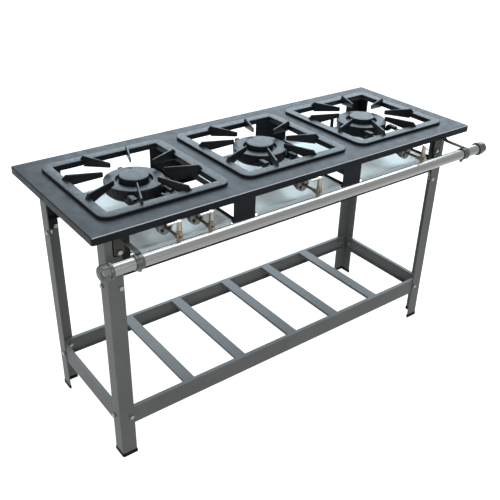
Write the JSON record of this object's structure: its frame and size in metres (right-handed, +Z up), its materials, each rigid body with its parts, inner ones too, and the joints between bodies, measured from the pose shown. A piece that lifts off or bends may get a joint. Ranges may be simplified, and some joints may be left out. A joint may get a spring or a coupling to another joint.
{
  "type": "three-burner gas range",
  "caption": "Freestanding low-pressure gas range: steel stand with open slatted shelf, cast trivets over ring burners, front gas pipe with taps.",
  "frame": {"origin": "on the floor, under the middle of the whole outline", "axes": "+X along the range to the right seen from the tap side, -Y towards the user and the gas pipe, +Z up"},
  "size_m": [1.472, 0.6124, 0.8313],
  "materials": {
    "black_paint": "satin black enamel on folded steel sheet",
    "cast_iron": "sand-cast iron, black heat-proof paint",
    "galvanised_sheet": "galvanised sheet, dull",
    "grey_paint": "grey powder paint",
    "bracket_paint": "dark bronze-grey paint on bent flat steel",
    "foot_plastic": "black moulded plastic",
    "pipe_steel": "zinc-plated pipe",
    "cap_iron": "galvanised malleable iron",
    "brass": "turned brass",
    "handle_metal": "cast brass, polished",
    "zinc_plate": "zinc-plated steel"
  },
  "bodies": {
    "stand": {"top_plate": "black_paint", "burner_body_left": "cast_iron", "burner_body_middle": "cast_iron", "burner_body_right": "cast_iron", "burner_ring_left": "cast_iron", "burner_ring_middle": "cast_iron", "burner_ring_right": "cast_iron", "chassis_front": "black_paint", "chassis_rear": "black_paint", "corner_posts": "black_paint", "tray_runners_left": "black_paint", "tray_runners_middle": "black_paint", "tray_runners_right": "black_paint", "burner_bars_left": "black_paint", "burner_bars_middle": "black_paint", "burner_bars_right": "black_paint", "leg_front_left": "grey_paint", "leg_front_right": "grey_paint", "leg_rear_left": "grey_paint", "leg_rear_right": "grey_paint", "foot_front_left": "foot_plastic", "foot_front_right": "foot_plastic", "foot_rear_left": "foot_plastic", "foot_rear_right": "foot_plastic", "shelf_rail_front": "grey_paint", "shelf_rail_rear": "grey_paint", "shelf_rail_left": "grey_paint", "shelf_rail_right": "grey_paint", "shelf_slats": "grey_paint", "gas_pipe": "pipe_steel", "pipe_cap_left": "cap_iron", "pipe_cap_right": "cap_iron", "pipe_bracket_left": "bracket_paint", "pipe_bracket_right": "bracket_paint", "pipe_clamp_left": "cap_iron", "pipe_clamp_right": "cap_iron", "tap_body_1": "brass", "tap_body_2": "brass", "tap_body_3": "brass", "tap_body_4": "brass", "injectors": "brass", "frame_bolts": "zinc_plate", "bracket_bolts": "zinc_plate"},
    "trivet_left_body": {"trivet_left": "cast_iron"},
    "drip_tray_left_body": {"drip_tray_left": "galvanised_sheet"},
    "burner_cap_left_body": {"burner_cap_left": "cast_iron"},
    "trivet_middle_body": {"trivet_middle": "cast_iron"},
    "drip_tray_middle_body": {"drip_tray_middle": "galvanised_sheet"},
    "burner_cap_middle_body": {"burner_cap_middle": "cast_iron"},
    "trivet_right_body": {"trivet_right": "cast_iron"},
    "drip_tray_right_body": {"drip_tray_right": "galvanised_sheet"},
    "burner_cap_right_body": {"burner_cap_right": "cast_iron"},
    "tap_handle_1_body": {"tap_handle_1": "handle_metal"},
    "tap_handle_2_body": {"tap_handle_2": "handle_metal"},
    "tap_handle_3_body": {"tap_handle_3": "handle_metal"},
    "tap_handle_4_body": {"tap_handle_4": "handle_metal"},
    "air_shutter_1_body": {"air_shutter_1": "zinc_plate"},
    "air_shutter_2_body": {"air_shutter_2": "zinc_plate"},
    "air_shutter_3_body": {"air_shutter_3": "zinc_plate"},
    "air_shutter_4_body": {"air_shutter_4": "zinc_plate"}
  },
  "joints": [
    {"name": "trivet_left_lift", "type": "slide", "parent": "stand", "child": "trivet_left_body", "axis": [0, 0, 1], "range_m": [0, 0.15]},
    {"name": "trivet_middle_lift", "type": "slide", "parent": "stand", "child": "trivet_middle_body", "axis": [0, 0, 1], "range_m": [0, 0.15]},
    {"name": "trivet_right_lift", "type": "slide", "parent": "stand", "child": "trivet_right_body", "axis": [0, 0, 1], "range_m": [0, 0.15]},
    {"name": "burner_cap_left_lift", "type": "slide", "parent": "stand", "child": "burner_cap_left_body", "axis": [0, 0, 1], "range_m": [0, 0.06]},
    {"name": "burner_cap_middle_lift", "type": "slide", "parent": "stand", "child": "burner_cap_middle_body", "axis": [0, 0, 1], "range_m": [0, 0.06]},
    {"name": "burner_cap_right_lift", "type": "slide", "parent": "stand", "child": "burner_cap_right_body", "axis": [0, 0, 1], "range_m": [0, 0.06]},
    {"name": "drip_tray_left_slide", "type": "slide", "parent": "stand", "child": "drip_tray_left_body", "axis": [0, -1, 0], "range_m": [0, 0.3]},
    {"name": "drip_tray_middle_slide", "type": "slide", "parent": "stand", "child": "drip_tray_middle_body", "axis": [0, -1, 0], "range_m": [0, 0.3]},
    {"name": "drip_tray_right_slide", "type": "slide", "parent": "stand", "child": "drip_tray_right_body", "axis": [0, -1, 0], "range_m": [0, 0.3]},
    {"name": "tap_1_turn", "type": "hinge", "parent": "stand", "child": "tap_handle_1_body", "pos_m": [-0.491, -0.25695, 0.756], "axis": [0, 0, 1], "range_deg": [0, 90]},
    {"name": "tap_2_turn", "type": "hinge", "parent": "stand", "child": "tap_handle_2_body", "pos_m": [-0.391, -0.25695, 0.756], "axis": [0, 0, 1], "range_deg": [0, 90]},
    {"name": "tap_3_turn", "type": "hinge", "parent": "stand", "child": "tap_handle_3_body", "pos_m": [-0.008, -0.25695, 0.756], "axis": [0, 0, 1], "range_deg": [0, 90]},
    {"name": "tap_4_turn", "type": "hinge", "parent": "stand", "child": "tap_handle_4_body", "pos_m": [0.449, -0.25695, 0.756], "axis": [0, 0, 1], "range_deg": [-62, 28]},
    {"name": "air_shutter_1_turn", "type": "hinge", "parent": "stand", "child": "air_shutter_1_body", "pos_m": [-0.491, -0.1838, 0.756], "axis": [0, 1, 0], "range_deg": [0, 60]},
    {"name": "air_shutter_2_turn", "type": "hinge", "parent": "stand", "child": "air_shutter_2_body", "pos_m": [-0.391, -0.1838, 0.756], "axis": [0, 1, 0], "range_deg": [0, 60]},
    {"name": "air_shutter_3_turn", "type": "hinge", "parent": "stand", "child": "air_shutter_3_body", "pos_m": [-0.008, -0.1838, 0.756], "axis": [0, 1, 0], "range_deg": [0, 60]},
    {"name": "air_shutter_4_turn", "type": "hinge", "parent": "stand", "child": "air_shutter_4_body", "pos_m": [0.449, -0.1838, 0.756], "axis": [0, 1, 0], "range_deg": [0, 60]}
  ]
}
